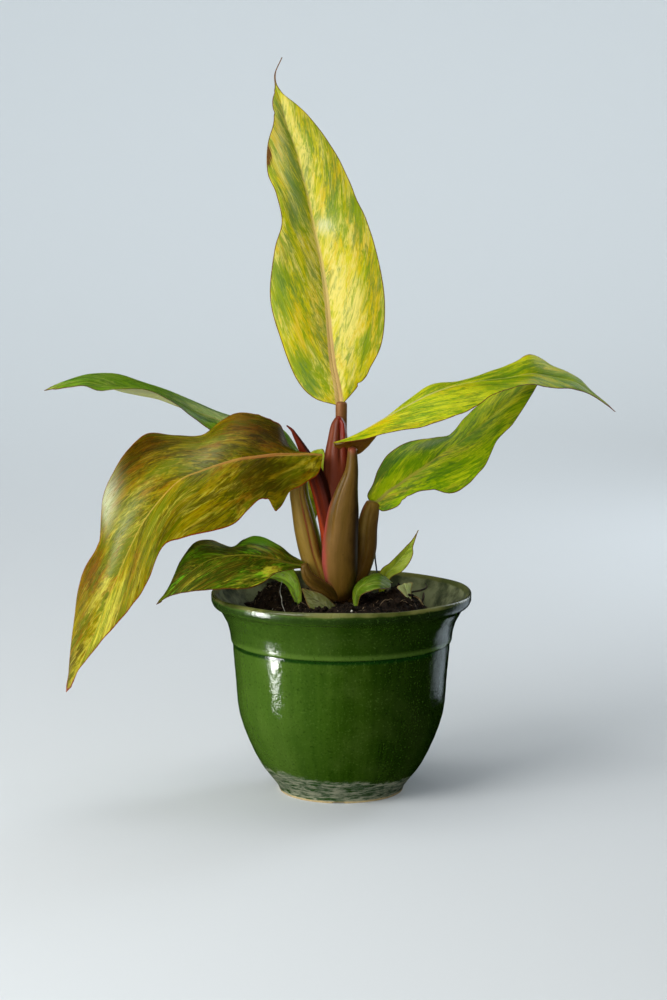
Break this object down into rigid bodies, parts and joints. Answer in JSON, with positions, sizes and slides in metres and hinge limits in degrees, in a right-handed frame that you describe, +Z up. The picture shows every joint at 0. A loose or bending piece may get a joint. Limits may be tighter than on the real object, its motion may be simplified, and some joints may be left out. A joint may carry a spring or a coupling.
{
  "type": "potted orange marmalade philodendron",
  "caption": "Young variegated philodendron with broad green, yellow and ochre leaves on stout petioles, standing in a green glazed flared pot filled with dark soil",
  "frame": {"origin": "on the axis of the pot, in the plane that its foot ring stands on, which is also the centre of the bounding box in X and Y within a few millimetres", "axes": "+Z up, the longest extent; -Y the side that the plant shows; +X to the right seen from that side"},
  "size_m": [0.3995, 0.18, 0.5069],
  "materials": {
    "pot_glaze": "gloss",
    "soil": "matte",
    "petiole": "satin",
    "sheath_pink": "satin",
    "sheath_red": "satin",
    "leaf_yellow": "satin",
    "leaf_green": "satin",
    "leaf_ochre": "satin",
    "shoot": "satin",
    "bract": "matte"
  },
  "bodies": {
    "root": {"pot": "pot_glaze", "soil": "soil", "stem": "petiole", "petiole_top": "petiole", "petiole_right_upper": "petiole", "petiole_right_lower": "petiole", "petiole_left_front": "petiole", "petiole_left_back": "petiole", "petiole_back": "petiole", "petiole_low_left": "petiole", "sheath_new": "sheath_pink", "sheath_old": "sheath_red", "leaf_top": "leaf_yellow", "leaf_right_upper": "leaf_yellow", "leaf_right_lower": "leaf_green", "leaf_left_front": "leaf_ochre", "leaf_left_back": "leaf_green", "leaf_low_left": "leaf_ochre", "leaf_back": "leaf_green", "shoot_left": "shoot", "shoot_arched": "shoot", "shoot_upright": "shoot", "bract_front": "bract", "bract_right": "bract"}
  },
  "joints": []
}
